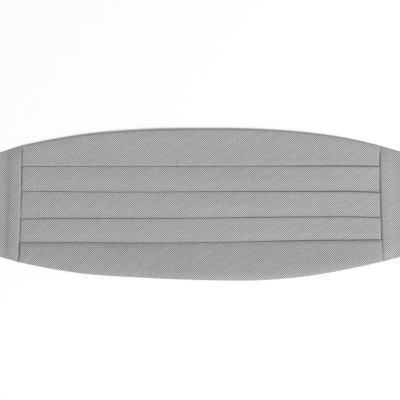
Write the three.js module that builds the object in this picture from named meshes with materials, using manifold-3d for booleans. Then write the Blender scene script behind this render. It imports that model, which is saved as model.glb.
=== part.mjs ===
// Cummerbund laid open and face up, in millimetres.
// +X runs along its length, +Y is the edge that is worn uppermost, and +Z is up off the surface.
// The origin is on that surface, under the middle of the pleated front.

import * as THREE from "three";
import { mergeVertices } from "three/addons/utils/BufferGeometryUtils.js";
import Module from "manifold-3d";

const wasm = await Module();
wasm.setup();

// Cloth: one layer, and the air that stays between folded layers and between sewn pieces.
const CLOTH = 1.0;
const GAP = 0.3;
const LAYER_PITCH = CLOTH + GAP;

// Pleated front: a row for each section across it, with the heights of its edges and folds.
const FRONT_SECTIONS = [
  { x: -150, top: 48.6, fold1: 31.2, fold2: 10.4, fold3: -12.6, fold4: -31.9, bottom: -48.6 },
  { x: -125, top: 54.1, fold1: 31.2, fold2: 10.4, fold3: -12.1, fold4: -31.9, bottom: -53.6 },
  { x: -100, top: 58.3, fold1: 31.2, fold2: 10.1, fold3: -12.0, fold4: -32.0, bottom: -57.4 },
  { x: -50, top: 62.7, fold1: 31.2, fold2: 9.9, fold3: -12.0, fold4: -32.4, bottom: -60.9 },
  { x: 0, top: 63.5, fold1: 31.2, fold2: 10.2, fold3: -11.8, fold4: -32.0, bottom: -63.0 },
  { x: 50, top: 62.7, fold1: 31.4, fold2: 10.4, fold3: -11.1, fold4: -31.1, bottom: -62.9 },
  { x: 100, top: 58.2, fold1: 31.5, fold2: 10.4, fold3: -10.7, fold4: -30.2, bottom: -57.9 },
  { x: 125, top: 54.1, fold1: 31.5, fold2: 10.4, fold3: -10.6, fold4: -30.0, bottom: -53.1 },
  { x: 150, top: 48.6, fold1: 31.3, fold2: 9.6, fold3: -11.3, fold4: -29.7, bottom: -47.5 },
];
const FRONT_HALF = 150;
const FRONT_STEPS = 20;
const FOLDS = ["fold1", "fold2", "fold3", "fold4"];
const UNDERLAP = 13.5; // how far each pleat is tucked in behind its folded edge
const TOP_HEM = 10;
const BOTTOM_HEM = 6;
const RAMP = 5; // length over which cloth comes down off the layers under it
const RAMP_CLEAR = 0.5; // flat cloth past the end of those layers

// Side seams: straight at the top, leaning outwards towards the bottom edge.
const SEAM_TOP = { x: 148.8, y: 48.5 };
const SEAM_HEIGHT = 97;
const SEAM_LEAN = 2.75;
const SEAM_CURVE = 2.2;

// Wings: cloth panels from the seam to the strap, with the seam's layers pressed into them.
const WING_END = 335;
const WING_END_HALF = 18;
const WING_SLOPE = { top: 0.295, bottom: 0.27, end: 0.03 };
const WING_HEM = 5;
const WING_STEPS = 16;
const WING_CROWDING = 1.8; // sections crowd towards the seam, where the relief is
const ALLOWANCE = { width: 8.5, fall: 5, thickening: 0.57, roll: 1.2, pinch: 0.5 };

// Straps: webbing that starts inside the wing's end and is folded back on itself at its own end.
const STRAP_WIDTH = 25;
const STRAP_TUCK = 20;
const STRAP_END = 455; // middle of the loop's turn
const STRAP_TAIL = 30;
const LOOP = { inner: 0.9, length: 9, ramp: 4 };
const LOOP_AXIS = CLOTH + LOOP.inner; // height of the loop's middle

// Hook: one plate, cut to an outline and bent back over itself at the tongue.
const HOOK = {
  sheet: 1.2, half: 16, bar: 3, slot: 3.6, slotHalf: 13.2, shoulder: 12.5, neck: 16,
  tongueHalf: 5, tip: 23, corner: 2.5, bend: 1.6, lip: 9,
};

// How finely round stretches are faceted.
const TURN_STEPS = 4;
const RAMP_STEPS = 3;
const CORNER_STEPS = 5;

// How far a shape that cuts another stands past it.
const CUT_MARGIN = 1;

const SATIN_COLOUR = 0xb2b2b3;
const WEBBING_COLOUR = 0x9a9a9c;
const METAL_COLOUR = 0xc4c4c6;

// The value of one column at x, on a smooth curve through the rows.
function column(rows, name, x) {
  const last = rows.length - 1;
  const slope = (i) => (rows[i + 1][name] - rows[i][name]) / (rows[i + 1].x - rows[i].x);
  const tangent = (i) => {
    if (i === 0) return slope(0);
    if (i === last) return slope(last - 1);
    const before = rows[i].x - rows[i - 1].x;
    const after = rows[i + 1].x - rows[i].x;
    return (slope(i - 1) * after + slope(i) * before) / (before + after);
  };
  let i = 0;
  while (i < last - 1 && x > rows[i + 1].x) i += 1;
  const width = rows[i + 1].x - rows[i].x;
  const t = (x - rows[i].x) / width;
  return hermite(t, rows[i][name], tangent(i) * width, rows[i + 1][name], tangent(i + 1) * width);
}

// A cubic from a to b, with the slopes that it has at its two ends.
function hermite(t, a, slopeA, b, slopeB) {
  const s = 1 - t;
  return a * (1 + 2 * t) * s * s + slopeA * t * s * s + b * t * t * (3 - 2 * t) - slopeB * t * t * s;
}

function sectionAt(x) {
  const names = Object.keys(FRONT_SECTIONS[0]).filter((name) => name !== "x");
  return Object.fromEntries(names.map((name) => [name, column(FRONT_SECTIONS, name, x)]));
}

// How far a side seam is from the middle, at height y.
function seamReach(y) {
  const down = Math.max(0, (SEAM_TOP.y - y) / SEAM_HEIGHT);
  return SEAM_TOP.x + SEAM_LEAN * down ** SEAM_CURVE;
}

const level = (n) => CLOTH / 2 + n * LAYER_PITCH;

// How far a turn's outer face stands beyond the middle of the turn.
const turnReach = (radius) => radius + CLOTH / 2 / Math.cos(Math.PI / TURN_STEPS / 2);

// Adds a half turn to a path, from height z0 to z1, bulging towards direction 1 or -1.
function turn(path, middle, z0, z1, direction) {
  const centre = (z0 + z1) / 2;
  const radius = (z0 - z1) / 2;
  for (let i = 0; i <= TURN_STEPS; i += 1) {
    const angle = (Math.PI * i) / TURN_STEPS;
    const out = middle + direction * Math.abs(radius) * Math.sin(angle);
    path.push(new THREE.Vector2(out, centre + radius * Math.cos(angle)));
  }
}

// Adds an S-shaped change of height to a path.
function ramp(path, start, length, z0, z1) {
  for (let i = 0; i <= RAMP_STEPS; i += 1) {
    const t = i / RAMP_STEPS;
    const rise = (1 - Math.cos(Math.PI * t)) / 2;
    path.push(new THREE.Vector2(start + length * t, z0 + (z1 - z0) * rise));
  }
}

// The outline of a sheet of the given thickness whose middle line is the path.
function sheetOutline(path, thickness) {
  const sides = [[], []];
  path.forEach((point, i) => {
    const before = path[Math.max(i - 1, 0)];
    const after = path[Math.min(i + 1, path.length - 1)];
    const into = point.clone().sub(before).normalize();
    const outOf = after.clone().sub(point).normalize();
    const along = into.add(outOf).normalize();
    const segment = (i ? point.clone().sub(before) : after.clone().sub(point)).normalize();
    const offset = thickness / 2 / along.dot(segment);
    sides[0].push(new THREE.Vector2(point.x - along.y * offset, point.y + along.x * offset));
    sides[1].push(new THREE.Vector2(point.x + along.y * offset, point.y - along.x * offset));
  });
  return new THREE.Shape([...sides[0], ...sides[1].reverse()]);
}

// Moves every vertex of a geometry by a function of its place.
function warp(geometry, place) {
  const position = geometry.getAttribute("position");
  const point = new THREE.Vector3();
  for (let i = 0; i < position.count; i += 1) {
    point.fromBufferAttribute(position, i);
    place(point);
    position.setXYZ(i, point.x, point.y, point.z);
  }
  geometry.computeVertexNormals();
  return geometry;
}

// Carries a height from one list of rising heights to the same place in another list.
function carry(y, from, to) {
  let i = 0;
  while (i < from.length - 2 && y > from[i + 1]) i += 1;
  return to[i] + ((y - from[i]) * (to[i + 1] - to[i])) / (from[i + 1] - from[i]);
}

// A section in the plane across the length, drawn out along X through 0 to 1.
function drawnOut(shape, steps) {
  const geometry = new THREE.ExtrudeGeometry(shape, { depth: 1, steps, bevelEnabled: false });
  return warp(geometry, (point) => point.set(point.z, point.x, point.y));
}

// The front's cloth in section: top hem, then each pleat folded back up and over, then bottom hem.
function frontPath(section) {
  const path = [new THREE.Vector2(section.top - TOP_HEM, level(0))];
  const reach = turnReach(LAYER_PITCH / 2);
  turn(path, section.top - reach, level(0), level(1), 1);
  ramp(path, section.top - TOP_HEM - RAMP_CLEAR, -RAMP, level(1), level(0));
  for (const fold of FOLDS) {
    const end = section[fold] - UNDERLAP;
    turn(path, end + reach, level(0), level(1), -1);
    turn(path, section[fold] - reach, level(1), level(2), 1);
    ramp(path, end - RAMP_CLEAR, -RAMP, level(2), level(0));
  }
  const overHem = section.bottom + BOTTOM_HEM + RAMP_CLEAR;
  ramp(path, overHem + RAMP, -RAMP, level(0), level(1));
  turn(path, section.bottom + reach, level(1), level(0), -1);
  path.push(new THREE.Vector2(section.bottom + BOTTOM_HEM, level(0)));
  return path;
}

// The heights that keep their place in the folding, from the bottom edge to the top edge.
function frontKnots(section) {
  const folds = FOLDS.map((fold) => section[fold]).reverse();
  const { bottom, top } = section;
  return [bottom, bottom + BOTTOM_HEM, ...folds, top - TOP_HEM, top];
}

function pleatedFront() {
  const middle = sectionAt(0);
  const middleKnots = frontKnots(middle);
  const geometry = drawnOut(sheetOutline(frontPath(middle), CLOTH), FRONT_STEPS);
  return warp(geometry, (point) => {
    const x = (2 * point.x - 1) * FRONT_HALF;
    point.y = carry(point.y, middleKnots, frontKnots(sectionAt(x)));
    point.x = (x / FRONT_HALF) * seamReach(point.y);
  });
}

// How much thicker the wing is, at a distance from the seam, where the seam's layers lie in it.
function allowanceThickening(distance) {
  const fallen = THREE.MathUtils.smoothstep(distance, ALLOWANCE.width, ALLOWANCE.width + ALLOWANCE.fall);
  const rolled = 1 - ALLOWANCE.pinch * Math.exp(-distance / ALLOWANCE.roll);
  return ALLOWANCE.thickening * rolled * (1 - fallen);
}

// One wing, drawn towards +X from the seam whose end section is given.
function wing(seamSection) {
  const { top, bottom } = seamSection;
  const reach = turnReach(LAYER_PITCH / 2);
  const path = [new THREE.Vector2(top - WING_HEM, level(0))];
  turn(path, top - reach, level(0), level(1), 1);
  turn(path, bottom + reach, level(1), level(0), -1);
  path.push(new THREE.Vector2(bottom + WING_HEM, level(0)));
  const knots = (low, high) => [low, low + WING_HEM, high - WING_HEM, high];
  const length = WING_END - FRONT_HALF;
  const edge = (t, start, slope) =>
    hermite(t, start, -slope * length, WING_END_HALF, -WING_SLOPE.end * length);
  return warp(drawnOut(sheetOutline(path, CLOTH), WING_STEPS), (point) => {
    const t = point.x ** WING_CROWDING;
    const high = edge(t, top, WING_SLOPE.top);
    const low = -edge(t, -bottom, WING_SLOPE.bottom);
    point.y = carry(point.y, knots(bottom, top), knots(low, high));
    const start = seamReach(point.y) + GAP;
    point.x = start + (WING_END - start) * t;
    point.z *= 1 + allowanceThickening(point.x - start);
  });
}

// One strap, drawn towards +X, with its loop held open round the height of the hook's bar.
function strap() {
  const tailStart = STRAP_END - STRAP_TAIL;
  const overLoop = LOOP_AXIS + LOOP.inner + CLOTH / 2;
  const path = [new THREE.Vector2(WING_END - STRAP_TUCK, level(0))];
  ramp(path, tailStart - RAMP_CLEAR - RAMP, RAMP, level(0), level(1));
  ramp(path, STRAP_END - LOOP.length, LOOP.ramp, level(1), overLoop);
  turn(path, STRAP_END, overLoop, level(0), 1);
  path.push(new THREE.Vector2(tailStart, level(0)));
  const outline = sheetOutline(path, CLOTH);
  const geometry = new THREE.ExtrudeGeometry(outline, { depth: STRAP_WIDTH, bevelEnabled: false });
  return geometry.rotateX(Math.PI / 2).translate(0, STRAP_WIDTH / 2, 0);
}

function solidOf(geometry) {
  const bare = geometry.clone();
  bare.deleteAttribute("normal");
  bare.deleteAttribute("uv");
  const merged = mergeVertices(bare, 1e-4);
  const vertProperties = merged.getAttribute("position").array;
  const triVerts = new Uint32Array(merged.index.array);
  return new wasm.Manifold(new wasm.Mesh({ numProp: 3, vertProperties, triVerts }));
}

function geometryOf(solid) {
  const mesh = solid.getMesh();
  const geometry = new THREE.BufferGeometry();
  geometry.setAttribute("position", new THREE.BufferAttribute(mesh.vertProperties, 3));
  geometry.setIndex(new THREE.BufferAttribute(mesh.triVerts, 1));
  geometry.computeVertexNormals();
  return geometry;
}

// The hook's blank, seen from above: bar, slot for the strap, shoulders and tongue.
function hookPlan() {
  const { half, shoulder, neck, tongueHalf, tip, corner, bar, slot, slotHalf } = HOOK;
  const end = tip + 2 * HOOK.bend;
  const plan = new THREE.Shape();
  plan.moveTo(0, -half + corner);
  plan.quadraticCurveTo(0, -half, corner, -half);
  plan.lineTo(shoulder - corner, -half);
  plan.bezierCurveTo(shoulder + corner, -half, neck - corner, -tongueHalf, neck, -tongueHalf);
  plan.lineTo(end, -tongueHalf);
  plan.lineTo(end, tongueHalf);
  plan.lineTo(neck, tongueHalf);
  plan.bezierCurveTo(neck - corner, tongueHalf, shoulder + corner, half, shoulder - corner, half);
  plan.lineTo(corner, half);
  plan.quadraticCurveTo(0, half, 0, half - corner);
  const opening = [
    new THREE.Vector2(bar, -slotHalf),
    new THREE.Vector2(bar, slotHalf),
    new THREE.Vector2(bar + slot, slotHalf),
    new THREE.Vector2(bar + slot, -slotHalf),
  ];
  plan.holes.push(new THREE.Path(opening));
  return plan;
}

// The hook: its blank, seen from above, bent to its profile, seen from the side.
function hook() {
  const lowZ = LOOP_AXIS;
  const highZ = lowZ + 2 * HOOK.bend;
  const path = [new THREE.Vector2(-CUT_MARGIN, lowZ)];
  turn(path, HOOK.tip, lowZ, highZ, 1);
  path.push(new THREE.Vector2(HOOK.tip - HOOK.lip, highZ));
  const width = 2 * (HOOK.half + CUT_MARGIN);
  const profile = new THREE.ExtrudeGeometry(sheetOutline(path, HOOK.sheet), {
    depth: width,
    bevelEnabled: false,
  });
  profile.rotateX(Math.PI / 2).translate(0, width / 2, 0);
  const height = highZ + HOOK.sheet;
  const blank = new THREE.ExtrudeGeometry(hookPlan(), {
    depth: height,
    curveSegments: CORNER_STEPS,
    bevelEnabled: false,
  });
  return geometryOf(solidOf(profile).intersect(solidOf(blank)));
}

function piece(name, geometry, color, roughness, metalness) {
  const mesh = new THREE.Mesh(
    geometry,
    new THREE.MeshStandardMaterial({ color, roughness, metalness }),
  );
  mesh.name = name;
  return mesh;
}

const satinPiece = (name, geometry) => piece(name, geometry, SATIN_COLOUR, 0.55, 0);
const webbingPiece = (name, geometry) => piece(name, geometry, WEBBING_COLOUR, 0.8, 0);
const metalPiece = (name, geometry) => piece(name, geometry, METAL_COLOUR, 0.35, 1);

// Everything on the left is drawn towards +X and then mirrored to -X.
const cummerbund = new THREE.Group();
const rightSide = new THREE.Group();
const leftSide = new THREE.Group();
leftSide.scale.x = -1;
cummerbund.add(satinPiece("pleated_front", pleatedFront()), rightSide, leftSide);

rightSide.add(
  satinPiece("wing_right", wing(FRONT_SECTIONS.at(-1))),
  webbingPiece("strap_right", strap()),
);

const claspHook = metalPiece("clasp_hook", hook());
claspHook.position.x = STRAP_END - HOOK.bar;
leftSide.add(
  satinPiece("wing_left", wing(FRONT_SECTIONS[0])),
  webbingPiece("strap_left", strap()),
  claspHook,
);

export default cummerbund;
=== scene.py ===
import math

import bpy
import numpy as np
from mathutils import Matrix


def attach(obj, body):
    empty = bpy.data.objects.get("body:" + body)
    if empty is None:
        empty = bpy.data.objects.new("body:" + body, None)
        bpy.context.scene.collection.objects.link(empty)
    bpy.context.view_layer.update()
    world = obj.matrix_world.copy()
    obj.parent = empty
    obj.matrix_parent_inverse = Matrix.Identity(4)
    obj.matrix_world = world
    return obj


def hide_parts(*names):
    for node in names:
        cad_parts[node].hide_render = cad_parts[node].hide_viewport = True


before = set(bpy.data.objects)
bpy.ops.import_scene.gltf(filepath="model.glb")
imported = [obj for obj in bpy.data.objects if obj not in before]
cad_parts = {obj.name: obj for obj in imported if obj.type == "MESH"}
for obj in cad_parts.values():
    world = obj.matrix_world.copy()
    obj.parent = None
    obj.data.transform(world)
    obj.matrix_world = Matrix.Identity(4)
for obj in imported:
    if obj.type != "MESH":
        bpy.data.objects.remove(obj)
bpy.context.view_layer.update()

# The pleated front is one length of grey satin twill, cut flat, then folded back up and over four
# times into five bands that open upwards. Its top and bottom edges are turned under over a soft
# interlining, and the side seams hold the pleats.
MM = 0.001
CLOTH = 0.36
LAYER_PITCH = 0.40
UNDERLAP = 13.5
TOP_HEM = 10
BOTTOM_HEM = 6
FRONT_HALF = 150
FRONT_COLUMNS = 110
TURN_STEPS = 8
HIDDEN_STEPS = 3
FOLDS = ("fold1", "fold2", "fold3", "fold4")
BAND_STEPS = {"fold1": 32, "fold2": 26, "fold3": 26, "fold4": 26, "bottom": 32}

# A row for each section across the front: the heights of its edges and folds, in millimetres.
SECTION_COLUMNS = ("x", "top", "fold1", "fold2", "fold3", "fold4", "bottom")
SECTIONS = np.array([
    (-150, 47.9, 31.2, 10.4, -12.6, -31.9, -48.1),
    (-125, 52.8, 31.2, 10.4, -12.1, -31.9, -53.2),
    (-100, 56.9, 31.2, 10.1, -12.0, -32.0, -57.2),
    (-50, 61.0, 31.2, 9.9, -12.0, -32.4, -60.9),
    (0, 62.1, 31.2, 10.2, -11.8, -32.0, -63.0),
    (50, 61.5, 31.4, 10.4, -11.1, -31.1, -63.1),
    (100, 57.6, 31.5, 10.4, -10.7, -30.2, -57.9),
    (125, 53.8, 31.5, 10.4, -10.6, -30.0, -53.1),
    (150, 48.3, 31.3, 9.6, -11.3, -29.7, -47.7),
])

# A pleat's face, by the distance below its fold: how far it stands over the fold's own level. It
# swells over the layers under it, drops where they end, and goes down under the next fold.
PLEAT_FACE = np.array([
    (0.0, 0.0), (1.5, 0.05), (4.0, 0.13), (8.0, 0.17), (11.5, 0.1), (13.3, -0.03),
    (15.0, -0.24), (17.5, -0.52), (20.6, -0.8),
])
# The rims are rolled over the interlining. Each row: the share of the way from the rim's crest to
# the next fold, and the height above the level where the cloth comes to rest.
TOP_CREST = 2.4
TOP_EDGE_DROP = 0.06
TOP_FALL = np.array([
    (0.0, 2.3), (0.1, 2.2), (0.3, 1.72), (0.55, 1.12), (0.8, 0.67), (0.88, 0.52), (1.0, 0.0),
])
BOTTOM_CREST = 6.0
BOTTOM_EDGE_DROP = 0.75
BOTTOM_RISE = np.array([
    (0.0, 0.0), (0.06, 0.42), (0.2, 1.2), (0.4, 1.85), (0.7, 2.38), (0.9, 2.64), (1.0, 2.7),
])
# The lowest band rises more at the left, and its edge drops more there and less at the right.
LEFT_RISES_MORE = 0.35
LEFT_DROPS_MORE = 0.1
RIGHT_DROPS_LESS = 0.5
RIM_AT_SEAM = 0.6
RIM_DEPTH = 0.28

# A seam pulls its cloth down: the share of the height that goes at the seam itself, how far that
# reaches, and a weaker, wider pull. Next to the long edges the first one is weaker.
FRONT_SQUEEZE = 0.58
SEAM_ROLL = 0.8
SEAM_EASE = 0.10
SEAM_EASE_REACH = 7.0
SQUEEZE_AT_EDGE = 0.45
# How far each fold stands open, at the left and at the right, where along the front that changes,
# and how far down the pleat it shows.
FOLD_GAPES = {
    "fold1": (0.05, 0.72),
    "fold2": (0.12, 0.76),
    "fold3": (0.24, 0.62),
    "fold4": (0.26, 0.82),
}
GAPE_SPREAD = (20, 110)
GAPE_REACH = 6.0
# Long, low waves, because cloth is never quite even: the share of the height, the length of a
# radian along the front and up it, and the start.
WAVES = ((0.06, 21, 17, 0), (0.05, 47, -11, 1.3))

# Side seams: straight at the top, leaning outwards towards the bottom edge.
SEAM_TOP = 48.5
SEAM_REACH = 148.8
SEAM_HEIGHT = 97.0
SEAM_LEAN = 2.75
SEAM_CURVE = 2.2


def smooth_row(table, at):
    """The row of a table at a value of its first column, on a smooth curve through its rows."""
    places = table[:, 0]
    steps = np.diff(places)[:, None]
    slopes = np.diff(table, axis=0) / steps
    inner = (slopes[:-1] * steps[1:] + slopes[1:] * steps[:-1]) / (steps[1:] + steps[:-1])
    tangents = np.vstack([slopes[:1], inner, slopes[-1:]])
    at = float(np.clip(at, places[0], places[-1]))
    i = int(np.clip(np.searchsorted(places, at) - 1, 0, len(places) - 2))
    width = places[i + 1] - places[i]
    t = (at - places[i]) / width
    s = 1 - t
    return (table[i] * (1 + 2 * t) * s * s + tangents[i] * width * t * s * s
            + table[i + 1] * t * t * (3 - 2 * t) - tangents[i + 1] * width * t * t * s)


def section_at(x):
    return dict(zip(SECTION_COLUMNS, smooth_row(SECTIONS, x)))


def seam_reach(y):
    down = np.clip((SEAM_TOP - y) / SEAM_HEIGHT, 0, None)
    return SEAM_REACH + SEAM_LEAN * down ** SEAM_CURVE


def level(n):
    return CLOTH / 2 + n * LAYER_PITCH


def smooth_step(start, end, value):
    t = np.clip((value - start) / (end - start), 0, 1)
    return t * t * (3 - 2 * t)


def turn(path, edge, z0, z1, way, depth=None):
    """Takes the cloth round a half turn whose outer face reaches the edge. It is round, or flatter
    if a depth is given."""
    depth = abs(z1 - z0) / 2 if depth is None else depth
    middle = edge - way * (depth + CLOTH / 2)
    for i in range(TURN_STEPS + 1):
        angle = math.pi * i / TURN_STEPS
        height = (z0 + z1) / 2 - (z1 - z0) / 2 * math.cos(angle)
        path.append((middle + way * depth * math.sin(angle), height))


def run(path, end, height, steps):
    """Takes the cloth from where it is to y = end, at the height that a function gives."""
    start = path[-1][0]
    for i in range(1, steps + 1):
        y = start + (end - start) * i / steps
        path.append((y, height(y)))


def front_path(section):
    """The cloth's middle line in section, from the top hem's free end to the bottom hem's."""
    x, top, bottom = section["x"], section["top"], section["bottom"]
    inset = LAYER_PITCH / 2 + CLOTH / 2
    rim_inset = RIM_DEPTH + CLOTH / 2
    lift = RIM_AT_SEAM + (1 - RIM_AT_SEAM) * (1 - (x / FRONT_HALF) ** 2)
    gapes = {name: left + (right - left) * smooth_step(*GAPE_SPREAD, x)
             for name, (left, right) in FOLD_GAPES.items()}
    bottom_drop = BOTTOM_EDGE_DROP * (1 + LEFT_DROPS_MORE * smooth_step(30, 100, -x)
                                      - RIGHT_DROPS_LESS * smooth_step(30, 150, x))
    swell = 1 + LEFT_RISES_MORE * smooth_step(-60, 90, -x)

    def top_face(y):
        down = top - y
        share = max(0, (down - TOP_CREST) / (top - section["fold1"] - TOP_CREST))
        drop = TOP_EDGE_DROP * (1 - min(down / TOP_CREST, 1)) ** 2
        return level(0) + lift * (smooth_row(TOP_FALL, share)[1] - drop)

    def pleat_face(fold, gape):
        def height(y):
            down = fold - y
            opening = gape * np.exp(-(down / GAPE_REACH) ** 2)
            return level(2) + smooth_row(PLEAT_FACE, down)[1] + opening
        return height

    def bottom_face(y):
        down, up = section["fold4"] - y, y - bottom
        share = min(1, down / (down + up - BOTTOM_CREST))
        drop = bottom_drop * (1 - min(up / BOTTOM_CREST, 1)) ** 2
        high = swell * smooth_row(BOTTOM_RISE, share)[1] - drop
        return level(2) + lift * high + gapes["fold4"] * np.exp(-(down / GAPE_REACH) ** 2)

    path = [(top - TOP_HEM, level(0))]
    run(path, top - rim_inset, lambda y: level(0), HIDDEN_STEPS)
    path.pop()
    turn(path, top, level(0), top_face(top - rim_inset), 1, RIM_DEPTH)
    face = top_face
    for name in FOLDS:
        fold = section[name]
        tail = fold - UNDERLAP
        run(path, fold + inset, face, BAND_STEPS[name])
        run(path, tail + inset, lambda y: level(0), HIDDEN_STEPS)
        path.pop()
        turn(path, tail, level(0), level(1), -1)
        run(path, fold - inset, lambda y: level(1), HIDDEN_STEPS)
        path.pop()
        turn(path, fold, level(1), level(2) + gapes[name], 1)
        face = pleat_face(fold, gapes[name])
    run(path, bottom + rim_inset, bottom_face, BAND_STEPS["bottom"])
    path.pop()
    turn(path, bottom, bottom_face(bottom + rim_inset), level(0), -1, RIM_DEPTH)
    run(path, bottom + BOTTOM_HEM, lambda y: level(0), HIDDEN_STEPS)
    return np.array(path)


def deselect_all():
    if bpy.context.object and bpy.context.object.mode != "OBJECT":
        bpy.ops.object.mode_set(mode="OBJECT")
    bpy.ops.object.select_all(action="DESELECT")


def select_only(piece):
    deselect_all()
    piece.select_set(True)
    bpy.context.view_layer.objects.active = piece


def apply_modifiers(piece):
    select_only(piece)
    for modifier in list(piece.modifiers):
        bpy.ops.object.modifier_apply(modifier=modifier.name)


def points_of(piece):
    flat = np.empty(len(piece.data.vertices) * 3)
    piece.data.vertices.foreach_get("co", flat)
    return flat.reshape(-1, 3)


def move_points(piece, points):
    piece.data.vertices.foreach_set("co", np.asarray(points, dtype=float).ravel())
    piece.data.update()


def corner_points(piece):
    corners = np.empty(len(piece.data.loops), dtype=int)
    piece.data.loops.foreach_get("vertex_index", corners)
    return corners


def cut_cloth(name, along, paths, pinned_row=0):
    """A flat grid of cloth with a path for each of its columns, folded along them. Its UV map
    "cloth" is in metres on the flat cloth, and is square to the row that is pinned."""
    columns, rows = paths.shape[:2]
    deselect_all()
    bpy.ops.mesh.primitive_grid_add(x_subdivisions=columns - 1, y_subdivisions=rows - 1,
                                    size=1, calc_uvs=True)
    piece = bpy.context.object
    piece.name = piece.data.name = name
    steps = np.hypot(*np.diff(paths, axis=1).transpose(2, 0, 1))
    lengths = np.hstack([np.zeros((columns, 1)), np.cumsum(steps, axis=1)])
    down = lengths - lengths[:, [pinned_row]]
    grid = points_of(piece)
    column = np.rint((grid[:, 0] + 0.5) * (columns - 1)).astype(int)
    row = np.rint((0.5 - grid[:, 1]) * (rows - 1)).astype(int)
    corners = corner_points(piece)
    uv = np.column_stack([along[column[corners]], -down[column[corners], row[corners]]]) * MM
    piece.data.uv_layers[0].name = "cloth"
    piece.data.uv_layers[0].data.foreach_set("uv", uv.ravel())
    move_points(piece, np.column_stack([along[column], paths[column, row]]))
    return piece, lengths[:, -1]


def thicken(piece, thickness):
    wall = piece.modifiers.new("cloth thickness", "SOLIDIFY")
    wall.thickness = thickness
    wall.offset = 0
    wall.use_even_offset = True
    apply_modifiers(piece)
    bpy.ops.object.shade_smooth_by_angle(angle=math.radians(50))


def face_outwards(piece):
    select_only(piece)
    bpy.ops.object.mode_set(mode="EDIT")
    bpy.ops.mesh.select_all(action="SELECT")
    bpy.ops.mesh.normals_make_consistent(inside=False)
    bpy.ops.object.mode_set(mode="OBJECT")


def crowded(count):
    """Places from -1 to 1 that crowd towards both ends."""
    t = np.linspace(-1, 1, count + 1)
    return 0.12 * t + 0.88 * (1.5 * t - 0.5 * t ** 3)


def pinched(from_seam, from_edge, squeeze, roll):
    """How much of its height the cloth keeps near a seam."""
    inside = SQUEEZE_AT_EDGE + (1 - SQUEEZE_AT_EDGE) * smooth_step(1, 7, from_edge)
    sharp = squeeze * inside * np.exp(-(from_seam / roll) ** 2)
    return (1 - sharp) * (1 - SEAM_EASE * np.exp(-(from_seam / SEAM_EASE_REACH) ** 2))


front_along = FRONT_HALF * crowded(FRONT_COLUMNS)
front_paths = np.array([front_path(section_at(x)) for x in front_along])
first_fold = HIDDEN_STEPS + TURN_STEPS + BAND_STEPS["fold1"]
front, front_lengths = cut_cloth("pleated_front_cloth", front_along, front_paths, first_fold)
thicken(front, CLOTH)
points = points_of(front)
along, up = points[:, 0], points[:, 1]
from_edge = np.minimum(SEAM_TOP - up, up + SEAM_TOP)
points[:, 2] *= pinched(FRONT_HALF - np.abs(along), from_edge, FRONT_SQUEEZE, SEAM_ROLL)
evenness = 1
for share, length, height, start in WAVES:
    evenness = evenness + share * np.sin(along / length + up / height + start)
points[:, 2] *= evenness
points[:, 0] *= seam_reach(points[:, 1]) / FRONT_HALF
move_points(front, points * MM)
face_outwards(front)


def linear(code):
    """A six-figure sRGB hex colour as linear red, green, blue and alpha."""
    parts = [int(code[i:i + 2], 16) / 255 for i in (1, 3, 5)]
    return [c / 12.92 if c <= 0.04045 else ((c + 0.055) / 1.055) ** 2.4 for c in parts] + [1]


def add(material, kind, settings, inputs):
    """Adds a node with its settings. Each input, by name or number, takes a value or a link."""
    node = material.node_tree.nodes.new("ShaderNode" + kind)
    for name, value in settings.items():
        setattr(node, name, value)
    for name, value in inputs.items():
        if isinstance(value, bpy.types.Node):
            value = value.outputs[0]
        if isinstance(value, bpy.types.NodeSocket):
            material.node_tree.links.new(value, node.inputs[name])
        else:
            node.inputs[name].default_value = value
    return node


def new_material(name):
    material = bpy.data.materials.new(name)
    material.use_nodes = True
    material.node_tree.nodes.clear()
    return material


def finish_material(material, shader):
    add(material, "OutputMaterial", {}, {"Surface": shader})
    return material


# Satin twill, 2 over 2: glossy warp threads over weft threads, stepping up to the right, so that
# the eye sees fine ribs. The real threads are one grey; the warp is drawn light as a painted sheen
# and the weft dark as a painted shade. The threads are 0.44 mm apart, coarser than real ones, so
# that the ribs, 1.27 mm apart, show as in the photograph.
WARP_SPACING = 0.4386
WEFT_SPACING = 0.4579
WARP_PAINTED_SHEEN = "#c5c5c5"
WEFT_PAINTED_SHADE = "#2e2e2e"


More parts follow.
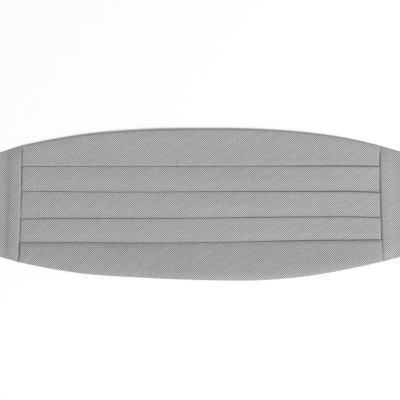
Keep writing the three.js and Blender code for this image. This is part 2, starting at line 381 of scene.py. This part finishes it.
def satin_twill():
    material = new_material("grey satin twill, woven")
    cloth = add(material, "UVMap", {"uv_map": "cloth"}, {})
    place = add(material, "SeparateXYZ", {}, {0: cloth})
    across = add(material, "Math", {"operation": "DIVIDE"},
                 {0: place.outputs["X"], 1: WARP_SPACING * MM})
    down = add(material, "Math", {"operation": "DIVIDE"},
               {0: place.outputs["Y"], 1: -WEFT_SPACING * MM})
    warp = add(material, "Math", {"operation": "FLOOR"}, {0: across})
    weft = add(material, "Math", {"operation": "FLOOR"}, {0: down})
    diagonal = add(material, "Math", {"operation": "ADD"}, {0: warp, 1: weft})
    place_in_repeat = add(material, "Math", {"operation": "FLOORED_MODULO"}, {0: diagonal, 1: 4})
    warp_on_top = add(material, "Math", {"operation": "LESS_THAN"}, {0: place_in_repeat, 1: 2})

    def float_height(thread, other_thread, other_place):
        """The rounded height of a thread, which is lower at the two ends of each float."""
        side = add(material, "Math", {"operation": "FRACT"}, {0: thread})
        side_angle = add(material, "Math", {"operation": "MULTIPLY"}, {0: side, 1: math.pi})
        round_side = add(material, "Math", {"operation": "SINE"}, {0: side_angle})
        along_float = add(material, "Math", {"operation": "ADD"}, {0: other_thread, 1: other_place})
        in_float = add(material, "Math", {"operation": "FLOORED_MODULO"}, {0: along_float, 1: 2})
        hump_angle = add(material, "Math", {"operation": "MULTIPLY"}, {0: in_float, 1: math.pi / 2})
        hump = add(material, "Math", {"operation": "SINE"}, {0: hump_angle})
        low_ends = add(material, "Math", {"operation": "MULTIPLY_ADD"}, {0: hump, 1: 0.4, 2: 0.6})
        return add(material, "Math", {"operation": "MULTIPLY"}, {0: round_side, 1: low_ends})

    weft_height = float_height(down, across, weft)
    warp_height = float_height(across, warp, down)
    height = add(material, "Mix", {"data_type": "FLOAT"},
                 {0: warp_on_top, 2: weft_height, 3: warp_height})

    body = add(material, "TexCoord", {}, {})
    slub_place = add(material, "Mapping", {},
                     {"Vector": body.outputs["Object"], "Scale": (60, 900, 60)})
    slubs = add(material, "TexNoise", {},
                {"Vector": slub_place, "Scale": 1, "Detail": 3, "Roughness": 0.6})
    clouds = add(material, "TexNoise", {},
                 {"Vector": body.outputs["Object"], "Scale": 45, "Detail": 2})
    slub_tone = add(material, "Math", {"operation": "MULTIPLY_ADD"}, {0: slubs, 1: 0.12, 2: 0.94})
    cloud_tone = add(material, "Math", {"operation": "MULTIPLY_ADD"}, {0: clouds, 1: 0.1, 2: 0.95})
    # Painted shade: each thread darkens where it sinks, at its sides and at the ends of its floats.
    painted_gap_shade = add(material, "Math", {"operation": "MULTIPLY_ADD"}, {0: height, 1: 0.3, 2: 0.8})
    uneven = add(material, "Math", {"operation": "MULTIPLY"}, {0: slub_tone, 1: cloud_tone})
    tone = add(material, "Math", {"operation": "MULTIPLY"}, {0: painted_gap_shade, 1: uneven})
    # Painted sheen and shade: warp floats take the light colour, weft floats the dark one.
    threads = add(material, "Mix", {"data_type": "RGBA"},
                  {0: warp_on_top, 6: linear(WEFT_PAINTED_SHADE), 7: linear(WARP_PAINTED_SHEEN)})
    colour = add(material, "VectorMath", {"operation": "SCALE"},
                 {0: threads.outputs[2], "Scale": tone})
    bump = add(material, "Bump", {}, {"Height": height, "Strength": 0.3, "Distance": 0.08 * MM})
    shader = add(material, "BsdfPrincipled", {},
                 {"Base Color": colour, "Normal": bump, "Roughness": 0.5, "IOR": 1.5,
                  "Specular IOR Level": 0.7, "Sheen Weight": 0.1, "Sheen Roughness": 0.4})
    return finish_material(material, shader)


satin = satin_twill()
front.data.materials.append(satin)
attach(front, "root")
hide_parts("pleated_front")

# The wings are plain side panels of the same cloth, sewn to the ends of the front. The seam's
# layers are pressed into the wing as a low ridge, its long edges are turned under, and it tapers
# to the strap.
WING_END = 335
WING_END_HALF = 18
# How fast the top and bottom edges close in, next to the left and the right seam.
WING_SLOPES = {-1: (0.315, 0.295), 1: (0.29, 0.275)}
WING_SLOPE_END = 0.03
WING_HEM = 5
WING_COLUMNS = 90
WING_FACE_STEPS = 46
WING_CROWDING = 1.9
WING_GAP = 0.08
WING_PUFF = 0.48
WING_RIM_REACH = 5.5
WING_SQUEEZE = 0.3
WING_ROLL = 0.6
# The ridge's height by the distance from the seam. On the left it is higher, and its far side
# falls more slowly. Past it the cloth dips a little, and then lies evenly.
RIDGES = {
    -1: np.array([
        (0.0, 1.8), (2.5, 1.8), (4.0, 1.73), (7.0, 1.42), (8.0, 1.27), (9.0, 1.03), (10.0, 0.66),
        (11.0, 0.28), (12.0, 0.1), (13.0, 0.03), (15.0, 0.0), (18.0, -0.03), (24.0, -0.04),
        (60.0, 0.0), (62.0, 0.0),
    ]),
    1: np.array([
        (0.0, 0.8), (4.0, 0.8), (6.0, 0.68), (8.1, 0.42), (10.5, 0.12), (12.5, 0.0),
        (14.5, -0.12), (16.5, -0.22), (20.0, -0.31), (28.0, -0.3), (68.0, 0.0), (70.0, 0.0),
    ]),
}
RIDGE_PLACES = np.linspace(0, 80, 321)
RIDGE_AT_EDGE = 0.35
RIDGE_EDGE_REACH = 8
RIPPLE = 0.08
# At the wing's open end the cloth stands up over the strap: where it starts along the wing, where
# it is full, where it ends towards the long edges, and by how much.
MOUTH_START = 300
MOUTH_FULL = 312
MOUTH_SIDE = (12.6, 15.5)
MOUTH_LIFT = 0.55


def wing_edge(t, start, slope):
    """The wing's half height, a share t of the way out from its seam to its narrow end."""
    length = WING_END - FRONT_HALF
    s = 1 - t
    return (start * (1 + 2 * t) * s * s - slope * length * t * s * s
            + WING_END_HALF * t * t * (3 - 2 * t) + WING_SLOPE_END * length * t * t * s)


def wing_path(top, bottom, lift):
    """The cloth's middle line in section: soft in the middle and pressed down at both edges."""
    def face(y):
        at_top = np.exp(-((top - y) / WING_RIM_REACH) ** 2)
        at_bottom = np.exp(-((y - bottom) / WING_RIM_REACH) ** 2)
        return level(1) + WING_PUFF * lift * max(0, 1 - (at_top + at_bottom))

    inset = LAYER_PITCH / 2 + CLOTH / 2
    path = [(top - WING_HEM, level(0))]
    run(path, top - inset, lambda y: level(0), HIDDEN_STEPS)
    path.pop()
    turn(path, top, level(0), level(1), 1)
    run(path, bottom + inset, face, WING_FACE_STEPS)
    path.pop()
    turn(path, bottom, level(1), level(0), -1)
    run(path, bottom + WING_HEM, lambda y: level(0), HIDDEN_STEPS)
    return np.array(path)


def make_wing(name, node, side):
    section = section_at(side * FRONT_HALF)
    steps = np.linspace(0, 1, WING_COLUMNS + 1) ** WING_CROWDING
    top_slope, bottom_slope = WING_SLOPES[side]
    highs = wing_edge(steps, section["top"], top_slope)
    lows = -wing_edge(steps, -section["bottom"], bottom_slope)
    paths = np.array([wing_path(high, low, 1 - t) for high, low, t in zip(highs, lows, steps)])
    length = WING_END - FRONT_HALF
    middle_row = HIDDEN_STEPS + TURN_STEPS + WING_FACE_STEPS // 2
    wing, lengths = cut_cloth(name, side * (FRONT_HALF + steps * length), paths, middle_row)
    thicken(wing, CLOTH)
    points = points_of(wing)
    up = points[:, 1]
    t = (np.abs(points[:, 0]) - FRONT_HALF) / length
    start = seam_reach(up) + WING_GAP
    reach = start + (WING_END - start) * t
    from_seam = reach - start
    from_edge = np.minimum(np.interp(t, steps, highs) - up, up - np.interp(t, steps, lows))
    is_face = smooth_step(level(0), level(1), points[:, 2])
    over_hem = points[:, 2] > (level(0) + level(1)) / 2
    ridge_heights = [smooth_row(RIDGES[side], place)[1] for place in RIDGE_PLACES]
    ridge = np.interp(from_seam, RIDGE_PLACES, ridge_heights)
    ridge *= RIDGE_AT_EDGE + (1 - RIDGE_AT_EDGE) * smooth_step(0, RIDGE_EDGE_REACH, from_edge)
    ripple = RIPPLE * np.sin(from_seam / 6.5 + up / 31 + side) * np.exp(-from_seam / 60)
    mouth = smooth_step(MOUTH_START, MOUTH_FULL, reach) * (1 - smooth_step(*MOUTH_SIDE, np.abs(up)))
    points[:, 2] += is_face * (ridge + ripple) + over_hem * MOUTH_LIFT * mouth
    points[:, 2] *= pinched(from_seam, from_edge, WING_SQUEEZE, WING_ROLL)
    points[:, 0] = side * reach
    move_points(wing, points * MM)
    face_outwards(wing)
    wing.data.materials.append(satin)
    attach(wing, "root")
    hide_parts(node)


make_wing("wing_left_cloth", "wing_left", -1)
make_wing("wing_right_cloth", "wing_right", 1)

# The straps are grey webbing, 25 mm wide, woven with cross ribs and firm edges. Each is sewn into
# the open end of a wing, and its far end is turned back round the hook's bar, or round nothing,
# and sewn down as a loop.
STRAP_WIDTH = 25
STRAP_START = 315
STRAP_END = 455
STRAP_TAIL = 30
WEBBING = 0.9
STRAP_COLUMNS = 20
STRAP_LOW = 0.46
STRAP_OVER_TAIL = 1.46
STRAP_OVER_BAR = 3.25
TAIL_CLIMB = (418.0, 424.5)
LOOP_CLIMB = (445.0, 450.5)
LOOP_STEPS = 12
WORN_EDGE = 0.3


def strap_path():
    """The webbing's middle line along x, from inside the wing out to the loop and back."""
    path = [(STRAP_START, STRAP_LOW)]

    def height(x):
        climb = smooth_step(*TAIL_CLIMB, x) * (STRAP_OVER_TAIL - STRAP_LOW)
        return STRAP_LOW + climb + smooth_step(*LOOP_CLIMB, x) * (STRAP_OVER_BAR - STRAP_OVER_TAIL)

    run(path, TAIL_CLIMB[0], height, 50)
    run(path, LOOP_CLIMB[1], height, 34)
    run(path, STRAP_END, height, 4)
    radius, axis = (STRAP_OVER_BAR - STRAP_LOW) / 2, (STRAP_OVER_BAR + STRAP_LOW) / 2
    for i in range(1, LOOP_STEPS):
        angle = math.pi * i / LOOP_STEPS
        path.append((STRAP_END + radius * math.sin(angle), axis + radius * math.cos(angle)))
    path.append((STRAP_END, STRAP_LOW))
    run(path, STRAP_END - STRAP_TAIL, lambda x: STRAP_LOW, 14)
    return np.array(path)


def ribbed_webbing():
    """Polyester webbing: cross ribs 1.2 mm apart under fine warp threads, with a dull face."""
    material = new_material("grey polyester webbing, woven")
    cloth = add(material, "UVMap", {"uv_map": "cloth"}, {})
    place = add(material, "SeparateXYZ", {}, {0: cloth})
    rib_angle = add(material, "Math", {"operation": "MULTIPLY"},
                    {0: place.outputs["Y"], 1: 2 * math.pi / (1.2 * MM)})
    rib_wave = add(material, "Math", {"operation": "SINE"}, {0: rib_angle})
    rib = add(material, "Math", {"operation": "MULTIPLY_ADD"}, {0: rib_wave, 1: 0.4, 2: 0.6})
    warp_angle = add(material, "Math", {"operation": "MULTIPLY"},
                     {0: place.outputs["X"], 1: 2 * math.pi / (0.55 * MM)})
    warp_wave = add(material, "Math", {"operation": "SINE"}, {0: warp_angle})
    warp = add(material, "Math", {"operation": "MULTIPLY_ADD"}, {0: warp_wave, 1: 0.5, 2: 0.5})
    warp_side = add(material, "Math", {"operation": "MULTIPLY_ADD"}, {0: warp, 1: 0.35, 2: 0.65})
    height = add(material, "Math", {"operation": "MULTIPLY"}, {0: rib, 1: warp_side})
    body = add(material, "TexCoord", {}, {})
    fuzz = add(material, "TexNoise", {},
               {"Vector": body.outputs["Object"], "Scale": 700, "Detail": 3, "Roughness": 0.7})
    fuzz_tone = add(material, "Math", {"operation": "MULTIPLY_ADD"}, {0: fuzz, 1: 0.2, 2: 0.9})
    # Painted shade: darker where the ribs and the warp threads sink.
    painted_gap_shade = add(material, "Math", {"operation": "MULTIPLY_ADD"}, {0: height, 1: 0.4, 2: 0.75})
    tone = add(material, "Math", {"operation": "MULTIPLY"}, {0: painted_gap_shade, 1: fuzz_tone})
    threads = add(material, "Mix", {"data_type": "RGBA"},
                  {0: warp, 6: linear("#848486"), 7: linear("#a2a2a3")})
    colour = add(material, "VectorMath", {"operation": "SCALE"},
                 {0: threads.outputs[2], "Scale": tone})
    bump = add(material, "Bump", {}, {"Height": height, "Strength": 0.6, "Distance": 0.15 * MM})
    shader = add(material, "BsdfPrincipled", {},
                 {"Base Color": colour, "Normal": bump, "Roughness": 0.7, "IOR": 1.55,
                  "Sheen Weight": 0.2, "Sheen Roughness": 0.5})
    return finish_material(material, shader)


webbing = ribbed_webbing()


def make_strap(name, node, side):
    path = strap_path()
    across = np.linspace(-1, 1, STRAP_COLUMNS + 1)
    strap, lengths = cut_cloth(name, across * STRAP_WIDTH / 2, np.array([path] * len(across)))
    thicken(strap, WEBBING)
    points = points_of(strap)
    points = points[:, [1, 0, 2]] * (side, 1, 1)
    move_points(strap, points * MM)
    face_outwards(strap)
    edges = strap.modifiers.new("worn edges", "BEVEL")
    edges.width = WORN_EDGE * MM
    edges.segments = 2
    edges.limit_method = "ANGLE"
    edges.angle_limit = math.radians(60)
    apply_modifiers(strap)
    bpy.ops.object.shade_smooth_by_angle(angle=math.radians(50))
    strap.data.materials.append(webbing)
    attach(strap, "root")
    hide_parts(node)


make_strap("strap_left_webbing", "strap_left", -1)
make_strap("strap_right_webbing", "strap_right", 1)

# The stitches are grey polyester thread: a box on each wing's end, which holds the strap, and one
# on each loop, which holds the turned-back tail.
STITCH_LENGTH = 2.1
STITCH_PITCH = 2.9
THREAD = 0.36
# Each box: its near and far end, its half width and the height of the cloth that it is sewn on.
BOXES = {"wing_end": (317.5, 331.5, 10.5, 1.34), "loop": (427.5, 443.0, 10.0, 1.93)}


def spun_thread():
    """Spun polyester sewing thread, twisted, with a soft shine."""
    material = new_material("grey polyester thread, spun")
    body = add(material, "TexCoord", {}, {})
    twist = add(material, "TexWave", {"bands_direction": "DIAGONAL"},
                {"Vector": body.outputs["Object"], "Scale": 900, "Distortion": 1})
    strands = twist.outputs["Fac"]
    colours = add(material, "Mix", {"data_type": "RGBA"},
                  {0: strands, 6: linear("#8f8f91"), 7: linear("#b9b9ba")})
    bump = add(material, "Bump", {}, {"Height": strands, "Strength": 0.4, "Distance": 0.05 * MM})
    shader = add(material, "BsdfPrincipled", {},
                 {"Base Color": colours.outputs[2], "Normal": bump, "Roughness": 0.55, "IOR": 1.57})
    return finish_material(material, shader)


thread = spun_thread()


def stitch_row(x0, y0, x1, y1, z):
    """Places for the stitches of a straight row, each its middle and its direction."""
    length = math.hypot(x1 - x0, y1 - y0)
    count = round(length / STITCH_PITCH)
    heading = math.atan2(y1 - y0, x1 - x0)
    return [(x0 + (x1 - x0) * (i + 0.5) / count, y0 + (y1 - y0) * (i + 0.5) / count, z, heading)
            for i in range(count)]


def sew(name, places, side):
    stitches = []
    for x, y, z, heading in places:
        deselect_all()
        bpy.ops.mesh.primitive_uv_sphere_add(segments=8, ring_count=6, radius=0.5 * MM,
                                             location=(side * x * MM, y * MM, z * MM),
                                             rotation=(0, math.pi / 2, side * heading))
        stitch = bpy.context.object
        stitch.scale = (THREAD, THREAD, STITCH_LENGTH)
        stitches.append(stitch)
    deselect_all()
    for stitch in stitches:
        stitch.select_set(True)
    bpy.context.view_layer.objects.active = stitches[0]
    bpy.ops.object.join()
    bpy.ops.object.transform_apply(location=True, rotation=True, scale=True)
    row = bpy.context.object
    row.name = row.data.name = name
    bpy.ops.object.shade_smooth()
    row.data.materials.append(thread)
    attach(row, "root")


for side, label in ((-1, "left"), (1, "right")):
    for where, (near, far, half, z) in BOXES.items():
        corners = ((near, -half), (far, -half), (far, half), (near, half), (near, -half))
        places = [place for (x0, y0), (x1, y1) in zip(corners, corners[1:])
                  for place in stitch_row(x0, y0, x1, y1, z)]
        sew(f"stitches_{where}_{label}", places, side)

# The hook is pressed from one sheet of nickel-plated steel: a bar and slot that the left strap's
# loop holds, and a tongue that is bent back over itself to catch the right strap's loop.
HOOK_AT = 452
HOOK_MIDDLE = 1.9
HOOK_SHEET = 1.2
HOOK_NECK = 16
TONGUE_HALF = 5
HOOK_TIP = 23
HOOK_BEND = 1.6
BEND_STEPS = 12
LIP_STEPS = (4.5, 2.4, 1.3, 0.8)
LIP_ROUND = 4.5
LIP_END = 0.08
DEBURRED = 0.28
MERGED = 0.01
# The flat blank, as half of its outline and half of its slot: out from the bar, and across.
BLANK_EDGE = (
    (0, 0), (0, 4.5), (0, 9), (0, 13.5), (0.35, 14.8), (1.2, 15.65), (2.5, 16), (6, 16),
    (9.6, 16), (11.1, 15.5), (12, 14.2), (13, 11), (14.4, 7.2), (HOOK_NECK, TONGUE_HALF),
    (HOOK_NECK, 0),
)
BLANK_SLOT = (
    (3, 0), (3, 4.4), (3, 8.8), (3, 12.4), (3.1, 12.85), (3.4, 13.1), (3.8, 13.2), (4.8, 13.2),
    (5.8, 13.2), (6.2, 13.1), (6.5, 12.85), (6.6, 12.4), (6.6, 8), (6.6, 4.2), (6.6, 0),
)


def plated_steel():
    """Nickel plate on pressed steel: bright, faintly warm, with fine polishing lines."""
    material = new_material("nickel-plated steel, polished")
    body = add(material, "TexCoord", {}, {})
    line_place = add(material, "Mapping", {},
                     {"Vector": body.outputs["Object"], "Scale": (300, 6000, 300)})
    lines = add(material, "TexNoise", {}, {"Vector": line_place, "Scale": 1, "Detail": 2})
    roughness = add(material, "Math", {"operation": "MULTIPLY_ADD"}, {0: lines, 1: 0.18, 2: 0.2})
    colours = add(material, "Mix", {"data_type": "RGBA"},
                  {0: lines, 6: linear("#c2c0bb"), 7: linear("#dad8d4")})
    bump = add(material, "Bump", {}, {"Height": lines, "Strength": 0.15, "Distance": 0.02 * MM})
    shader = add(material, "BsdfPrincipled", {},
                 {"Base Color": colours.outputs[2], "Roughness": roughness, "Normal": bump,
                  "Metallic": 1.0})
    return finish_material(material, shader)


def whole_outline(half):
    """The closed outline whose one half, from end to end on the middle line, is given."""
    return list(half) + [(out, -across) for out, across in half[-2:0:-1]]


def make_hook():
    deselect_all()
    outlines = whole_outline(BLANK_EDGE), whole_outline(BLANK_SLOT)
    count = len(outlines[0])
    bpy.ops.mesh.primitive_circle_add(vertices=count, radius=1)
    hook = bpy.context.object
    hook.name = hook.data.name = "clasp_hook_plated"
    bpy.ops.object.mode_set(mode="EDIT")
    bpy.ops.mesh.primitive_circle_add(vertices=count, radius=0.5)
    bpy.ops.object.mode_set(mode="OBJECT")
    blank = np.array([(*place, HOOK_MIDDLE) for outline in outlines for place in outline])
    move_points(hook, blank * MM)
    bpy.ops.object.mode_set(mode="EDIT")
    bpy.ops.mesh.select_all(action="SELECT")
    bpy.ops.mesh.bridge_edge_loops()
    bpy.ops.mesh.select_mode(type="EDGE")
    bpy.ops.mesh.select_all(action="DESELECT")
    bpy.ops.object.mode_set(mode="OBJECT")
    corners = hook.data.vertices
    for edge in hook.data.edges:
        edge.select = all(corners[i].co.x > (HOOK_NECK - 0.1) * MM for i in edge.vertices)
    bpy.ops.object.mode_set(mode="EDIT")
    tongue = (HOOK_TIP - HOOK_NECK) * MM
    bpy.ops.mesh.extrude_region_move(TRANSFORM_OT_translate={"value": (tongue, 0, 0)})
    bend_axis = (HOOK_TIP * MM, 0, (HOOK_MIDDLE + HOOK_BEND) * MM)
    bpy.ops.mesh.spin(steps=BEND_STEPS, angle=math.pi, center=bend_axis, axis=(0, -1, 0))
    for step in LIP_STEPS:
        bpy.ops.mesh.extrude_region_move(TRANSFORM_OT_translate={"value": (-step * MM, 0, 0)})
    bpy.ops.mesh.select_all(action="SELECT")
    bpy.ops.mesh.remove_doubles(threshold=MERGED * MM)
    bpy.ops.mesh.normals_make_consistent(inside=False)
    bpy.ops.object.mode_set(mode="OBJECT")
    points = points_of(hook) / MM
    from_end = np.clip((points[:, 0] - HOOK_TIP + sum(LIP_STEPS)) / LIP_ROUND, LIP_END, 1)
    on_lip = points[:, 2] > HOOK_MIDDLE + HOOK_BEND
    points[on_lip, 1] *= np.sqrt(1 - (1 - from_end[on_lip]) ** 2)
    points[:, 0] = -HOOK_AT - points[:, 0]
    move_points(hook, points * MM)
    face_outwards(hook)
    thicken(hook, HOOK_SHEET * MM)
    edges = hook.modifiers.new("deburred edges", "BEVEL")
    edges.width = DEBURRED * MM
    edges.segments = 3
    edges.limit_method = "ANGLE"
    edges.angle_limit = math.radians(50)
    apply_modifiers(hook)
    bpy.ops.object.mode_set(mode="EDIT")
    bpy.ops.mesh.select_all(action="SELECT")
    bpy.ops.mesh.dissolve_degenerate(threshold=MERGED * MM)
    bpy.ops.object.mode_set(mode="OBJECT")
    face_outwards(hook)
    bpy.ops.object.shade_smooth_by_angle(angle=math.radians(35))
    hook.data.materials.append(plated_steel())
    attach(hook, "root")
    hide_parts("clasp_hook")


make_hook()

# The table is a plain white sheet of board.
bpy.ops.mesh.primitive_plane_add(size=40, location=(0, 0, 0))
floor = bpy.context.object
floor.name = "floor"
board = new_material("white board, matt")
board_shader = add(board, "BsdfPrincipled", {}, {"Base Color": linear("#ededed"), "Roughness": 0.9})
floor.data.materials.append(finish_material(board, board_shader))

# Soft studio light: a broad lamp at the lower right, halfway up, and an even white surround.
KEY_PLACE = (3.6, -3.13, 5.12)
KEY_WATTS = 505.9
KEY_SIZE = 2.4
bpy.ops.object.light_add(type="AREA", location=KEY_PLACE)
key = bpy.context.object
key.data.energy = KEY_WATTS
key.data.size = KEY_SIZE
key.rotation_mode = "QUATERNION"
key.rotation_quaternion = (-key.location).to_track_quat("-Z", "Y")
world = bpy.data.worlds.new("white surround")
world.use_nodes = True
world.node_tree.nodes["Background"].inputs["Color"].default_value = (1, 1, 1, 1)
world.node_tree.nodes["Background"].inputs["Strength"].default_value = 0.45
bpy.context.scene.world = world
bpy.context.scene.view_settings.view_transform = "Standard"

# The camera looks straight down on the middle of the front, 332 mm of it across the picture.
PICTURE_WIDTH = 0.332
PICTURE_CENTRE = (-0.0005, 0.0034)
LENS = 200
SENSOR = 36
camera_height = PICTURE_WIDTH * LENS / SENSOR
bpy.ops.object.camera_add(location=(*PICTURE_CENTRE, camera_height + 0.001), rotation=(0, 0, 0))
camera = bpy.context.object
camera.data.lens = LENS
camera.data.sensor_width = SENSOR
bpy.context.scene.camera = camera
